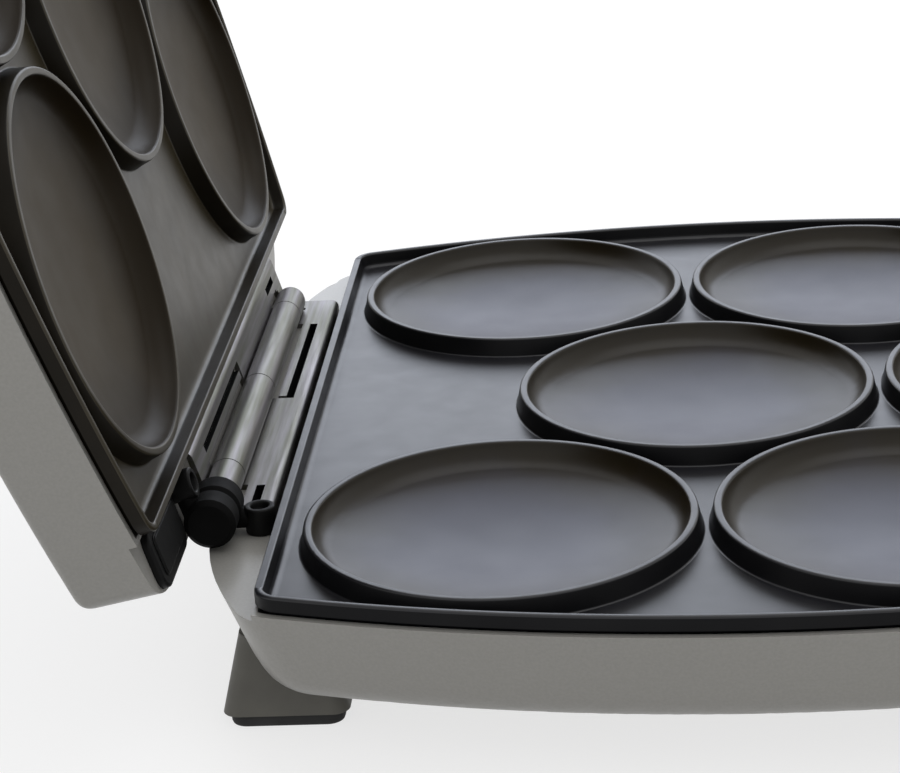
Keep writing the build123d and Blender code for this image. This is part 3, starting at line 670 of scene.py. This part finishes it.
# Finishes of single faces, with painted light: painted shade and painted sheen inside the pans, painted shade on
# steep walls and inside the hinge's slots
base_pans_painted_shade = pan_coating_with_painted_shade(
    "base_pan_coating_painted_shade",
    edge=(0.014, 0.010, 0.004),
    middle=(0.031, 0.031, 0.052),
    rough=(0.34, 0.38),
    ior=1.33,
)
lid_pans_painted_shade = pan_coating_with_painted_shade(
    "lid_pan_coating_painted_shade",
    edge=(0.014, 0.009, 0.003),
    middle=(0.046, 0.034, 0.018),
    rough=(0.42, 0.48),
    ior=1.22,
)
# Darker copies of the plates' coatings for steep walls: painted shade
base_walls_painted_shade = coating(
    "base_wall_painted_shade",
    dark=(0.005, 0.005, 0.006),
    light=(0.008, 0.008, 0.009),
    rough=(0.36, 0.42),
    ior=1.22,
)
lid_walls_painted_shade = coating(
    "lid_wall_painted_shade",
    dark=(0.009, 0.007, 0.004),
    light=(0.014, 0.011, 0.007),
    rough=(0.38, 0.44),
    ior=1.22,
)
# Near-black finish inside the hinge's slots: painted shade
slot_shadow = satin(
    "slot_shadow",
    dark=grey(0.002),
    light=grey(0.003),
    rough=(0.7, 0.8),
    ior=1.1,
)

# The finish of each material slot in the record
finishes = {
    "grid_plate_base": coating(
        "base_coating",
        dark=(0.008, 0.008, 0.010),
        light=(0.012, 0.012, 0.015),
        rough=(0.33, 0.37),
        ior=1.42,
    ),
    # The lid's copy of the plate coating, and of its pans and walls, is lighter and warmer than the base's:
    # painted warm light over the coating's own dark colour
    "grid_plate_lid": coating(
        "lid_coating_painted_warm_light",
        dark=(0.030, 0.024, 0.012),
        light=(0.042, 0.034, 0.019),
        rough=(0.36, 0.42),
        ior=1.36,
    ),
    "housing_shell": satin(
        "silver_paint",
        dark=(0.375, 0.365, 0.34),
        light=(0.405, 0.395, 0.37),
        rough=(0.38, 0.41),
        metallic=0.2,
        mottle=1400.0,
        grain=paint_grain,
    ),
    "trim_finish": satin(
        "trim_silver",
        dark=(0.40, 0.395, 0.38),
        light=(0.45, 0.445, 0.43),
        rough=(0.42, 0.50),
        metallic=0.35,
        mottle=900.0,
        grain=paint_grain,
        stretch=along_hinge,
    ),
    "hinge_metal": satin(
        "zinc_plate",
        dark=(0.10, 0.10, 0.075),
        light=(0.17, 0.16, 0.165),
        rough=(0.34, 0.48),
        metallic=1.0,
        mottle=500.0,
        grain=zinc_grain,
        stretch=along_hinge,
    ),
    "fastener": satin(
        "screw_steel",
        dark=(0.30, 0.30, 0.29),
        light=(0.42, 0.42, 0.41),
        rough=(0.28, 0.36),
        metallic=1.0,
        mottle=300.0,
    ),
    "heater": satin(
        "heater_sheath",
        dark=(0.10, 0.09, 0.08),
        light=(0.18, 0.16, 0.14),
        rough=(0.45, 0.6),
        metallic=0.9,
    ),
    "reflector_sheet": satin(
        "reflector_aluminium",
        dark=(0.55, 0.55, 0.54),
        light=(0.65, 0.65, 0.64),
        rough=(0.25, 0.35),
        metallic=1.0,
    ),
    "leg_plastic": satin(
        "leg_plastic",
        dark=(0.12, 0.115, 0.10),
        light=(0.15, 0.145, 0.125),
        rough=(0.5, 0.58),
        grain=plastic_grain,
        bump=0.15,
    ),
    "gland_plastic": satin(
        "gland_plastic",
        dark=grey(0.003),
        light=grey(0.006),
        rough=(0.45, 0.55),
        ior=1.22,
    ),
    "boot_rubber": satin(
        "boot_rubber",
        dark=grey(0.003),
        light=grey(0.005),
        rough=(0.6, 0.7),
        ior=1.15,
    ),
    "pad_rubber": satin(
        "pad_rubber",
        dark=grey(0.012),
        light=grey(0.02),
        rough=(0.7, 0.8),
    ),
    "power_lens": satin(
        "power_lens",
        dark=(0.45, 0.02, 0.01),
        light=(0.55, 0.03, 0.02),
        rough=(0.08, 0.14),
    ),
    "ready_lens": satin(
        "ready_lens",
        dark=(0.02, 0.30, 0.05),
        light=(0.03, 0.38, 0.07),
        rough=(0.08, 0.14),
    ),
    "control_plastic": satin(
        "control_plastic",
        dark=(0.55, 0.53, 0.45),
        light=(0.62, 0.60, 0.52),
        rough=(0.45, 0.55),
    ),
    "handle_plastic": phenolic("handle_phenolic"),
    "latch_finish": phenolic("latch_phenolic"),
}
slot_of = {entry["node"]: entry["material_slot"] for entry in frame["record"]["subparts"]}
for node, cad_object in frame["nodes"].items():
    for material_slot in cad_object.material_slots:
        material_slot.material = finishes[slot_of[node]]


def add_plate(name, node, body, place, pan_painted_shade, wall_painted_shade):
    piece = grid_plate(name, place, (finishes[slot_of[node]], pan_painted_shade, wall_painted_shade))
    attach(piece, body)
    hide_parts(node)


add_plate("base_grid_plate_cast", "base_grid_plate", "base", base_place, base_pans_painted_shade, base_walls_painted_shade)
add_plate("lid_grid_plate_cast", "lid_grid_plate", "lid", lid_place, lid_pans_painted_shade, lid_walls_painted_shade)

# The other pieces, by node, and the width over which their edges are rounded
edge_widths = {
    "base_housing": 0.7,
    "lid_housing": 0.7,
    "base_handle": 0.8,
    "lid_handle": 0.8,
    "latch": 0.5,
    "base_hinge_leaf": 0.4,
    "lid_hinge_leaf": 0.4,
    "hinge_pin": 0.4,
    "base_wire_boot": 0.9,
    "lid_wire_boot": 0.9,
    "base_wire_gland": 0.5,
    "lid_wire_gland": 0.5,
    "cord_gland": 0.6,
    "rear_leg_left": 1.2,
    "rear_leg_right": 1.2,
    "front_leg_left": 1.2,
    "front_leg_right": 1.2,
    "leg_pads": 0.8,
    "lid_trim_panel": 0.8,
    "power_lamp_lens": 0.4,
    "ready_lamp_lens": 0.4,
    "base_plate_screws": 0.4,
    "lid_plate_screws": 0.4,
    "leg_screws": 0.4,
    "base_handle_screws": 0.4,
    "lid_handle_screws": 0.4,
    "base_leaf_screws": 0.3,
    "lid_leaf_screws": 0.3,
    "base_reflector": 0.2,
    "lid_reflector": 0.2,
    "base_element_straps": 0.3,
    "lid_element_straps": 0.3,
    "thermostat": 0.3,
    "terminal_block": 0.4,
}

# Pieces that the hinge's slots run through, with the half's place and the slot's top and bottom
slotted = {
    "base_hinge_leaf": (base_place, leaf_top, leaf_foot),
    "lid_hinge_leaf": (lid_place, leaf_top, leaf_foot),
    "base_housing": (base_place, leaf_foot, slot_floor),
    "lid_housing": (lid_place, leaf_foot, slot_floor),
}
nodes_of = frame["record"]["behaviour"]["bodies"]
body_of = {node: body for body, nodes in nodes_of.items() for node in nodes}
for node, width in edge_widths.items():
    finishes_and_slot_shade = [finishes[slot_of[node]]]
    if node in slotted:
        # Faces inside the hinge's slots take the painted shade
        finishes_and_slot_shade.append(slot_shadow)
    piece = eased(node, node + "_eased", width, finishes_and_slot_shade, slotted.get(node))
    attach(piece, body_of[node])
    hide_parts(node)

# Black cover over the lid's deck strip, beside the near end of the hinge
cover_rear = -1.6
cover_front = 13.8
cover_start = 85.6
cover_end = 114.5
cover_corner = 4.5
cover_least_corner = 0.4
cover_corner_steps = 8
cover_foot = -7.3
cover_top = -5.2
cover_edge_round = 0.8
cover_pad_inset = 3.0
cover_pad_rise = 0.6
cover_pad_foot_round = 0.2
cover_pad_round = 0.3


def cover_outline(inset):
    """The cover's outline, a rectangle with round corners, moved inwards."""
    radius = cover_corner - inset
    corners = [
        (cover_front - cover_corner, cover_end - cover_corner),
        (cover_rear + cover_corner, cover_end - cover_corner),
        (cover_rear + cover_corner, cover_start + cover_corner),
        (cover_front - cover_corner, cover_start + cover_corner),
    ]
    outline = []
    for quarter, (x, y) in enumerate(corners):
        for step in range(cover_corner_steps + 1):
            angle = math.pi / 2 * (quarter + step / cover_corner_steps)
            outline.append(Vector((x + radius * math.cos(angle), y + radius * math.sin(angle))))
    return outline


def black_deck_cover(name, place):
    """A cover with a rounded edge and a raised pad."""
    pad_top = cover_top + cover_pad_rise
    profile = rounded(
        [
            (0, cover_foot),
            (0, cover_top),
            (cover_pad_inset, cover_top),
            (cover_pad_inset, pad_top),
            (cover_corner - cover_least_corner, pad_top),
        ],
        [cover_edge_round, cover_pad_foot_round, cover_pad_round],
    )
    bm = bmesh.new()
    rows = [loop_verts(bm, cover_outline(point.x), point.y) for point in profile]
    for lower, upper in zip(rows, rows[1:]):
        bridge(bm, lower, upper)
    bm.faces.new(rows[0])
    bm.faces.new(rows[-1])
    piece = new_object(name, bm, place)
    piece.data.materials.append(finishes[slot_of["lid_wire_gland"]])
    weigh_normals(piece)
    return piece


cover = black_deck_cover("lid_black_deck_cover", lid_place)
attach(cover, "lid")

# Floor and light around the object, with places and sizes in metres and powers in watts
floor_half_width = 6.0
floor_grey = grey(0.32)
floor_roughness = 0.8
floor_specular = 0.1
floor_glow = 0.72
ambient_light = 0.6
backdrop_light = 1.0
white = grey(1)


def seen_rays(tree):
    """One for rays from the camera, from gloss and through glass, else zero."""
    rays = tree.nodes.new("ShaderNodeLightPath")
    total = rays.outputs["Is Camera Ray"]
    for ray in ("Is Glossy Ray", "Is Transmission Ray"):
        larger = tree.nodes.new("ShaderNodeMath")
        larger.operation = "MAXIMUM"
        tree.links.new(total, larger.inputs[0])
        tree.links.new(rays.outputs[ray], larger.inputs[1])
        total = larger.outputs[0]
    return total


def emitting(tree, kind, strength):
    """A white light of the given node kind, as its output."""
    node = tree.nodes.new(kind)
    node.inputs["Color"].default_value = (*white, 1)
    node.inputs["Strength"].default_value = strength
    return node.outputs[0]


def seen_else(tree, seen, unseen):
    """One shader where the camera, gloss or glass sees it, and another for light that bounces."""
    mix = tree.nodes.new("ShaderNodeMixShader")
    tree.links.new(seen_rays(tree), mix.inputs["Fac"])
    tree.links.new(unseen, mix.inputs[1])
    tree.links.new(seen, mix.inputs[2])
    return mix.outputs["Shader"]


def backdrop_finish():
    """Pale where the camera, gloss or glass sees it, and a plain grey where light bounces off it."""
    material, tree, principled = shader(
        "pale_floor", floor_grey, floor_roughness, specular=floor_specular
    )
    glow = emitting(tree, "ShaderNodeEmission", floor_glow)
    unlit = emitting(tree, "ShaderNodeEmission", 0.0)
    both = tree.nodes.new("ShaderNodeAddShader")
    tree.links.new(principled.outputs["BSDF"], both.inputs[0])
    tree.links.new(seen_else(tree, glow, unlit), both.inputs[1])
    tree.links.new(both.outputs["Shader"], tree.nodes["Material Output"].inputs["Surface"])
    return material


floor_grid = bmesh.new()
bmesh.ops.create_grid(floor_grid, x_segments=1, y_segments=1, size=floor_half_width)
floor = linked("floor", mesh_from("floor", floor_grid))
floor.data.materials.append(backdrop_finish())

world = bpy.data.worlds.new("studio")
bpy.context.scene.world = world
world.use_nodes = True
world_tree = world.node_tree
shown = emitting(world_tree, "ShaderNodeBackground", backdrop_light)
bounced = emitting(world_tree, "ShaderNodeBackground", ambient_light)
world_surface = world_tree.nodes["World Output"].inputs["Surface"]
world_tree.links.new(seen_else(world_tree, shown, bounced), world_surface)


def area_light(name, place, target, size, power, colour):
    data = bpy.data.lights.new(name, "AREA")
    data.shape = "RECTANGLE"
    data.size = size[0]
    data.size_y = size[1]
    data.energy = power
    data.color = colour
    lamp = linked(name, data)
    lamp.location = place
    lamp.rotation_euler = (Vector(target) - Vector(place)).to_track_quat("-Z", "Y").to_euler()
    lamp.visible_camera = False


area_light(
    "window",
    place=(0.0, 1.5, 0.7),
    target=(0.05, 0, 0.05),
    size=(1.4, 0.72),
    power=8,
    colour=(0.78, 0.85, 1.0),
)
area_light(
    "overhead",
    place=(0.2, 0.2, 1.5),
    target=(0, 0, 0.1),
    size=(1.3, 1.1),
    power=4.5,
    colour=white,
)

# Camera at the photograph's viewing angle; its sensor and lens are in millimetres, its clip in metres
camera_place = hinge + Vector((104.2, -623.3, 237.4)) * MM
camera_azimuth = math.radians(-4.83)
camera_elevation = math.radians(20.75)
camera_roll = math.radians(-3.87)
camera_sensor = 36
camera_lens = 101.5
camera_clip = 0.01

ahead = Vector(
    (
        math.sin(camera_azimuth) * math.cos(camera_elevation),
        math.cos(camera_azimuth) * math.cos(camera_elevation),
        -math.sin(camera_elevation),
    )
)
level = Vector((math.cos(camera_azimuth), -math.sin(camera_azimuth), 0))
above = level.cross(ahead)
right = math.cos(camera_roll) * level + math.sin(camera_roll) * above
up = math.cos(camera_roll) * above - math.sin(camera_roll) * level
camera_data = bpy.data.cameras.new("camera")
camera_data.sensor_fit = "HORIZONTAL"
camera_data.sensor_width = camera_sensor
camera_data.lens = camera_lens
camera_data.clip_start = camera_clip
camera = linked("camera", camera_data)
camera.matrix_world = Matrix(
    (
        (right.x, up.x, -ahead.x, camera_place.x),
        (right.y, up.y, -ahead.y, camera_place.y),
        (right.z, up.z, -ahead.z, camera_place.z),
        (0, 0, 0, 1),
    )
)
bpy.context.scene.camera = camera
bpy.context.scene.view_settings.view_transform = "Standard"
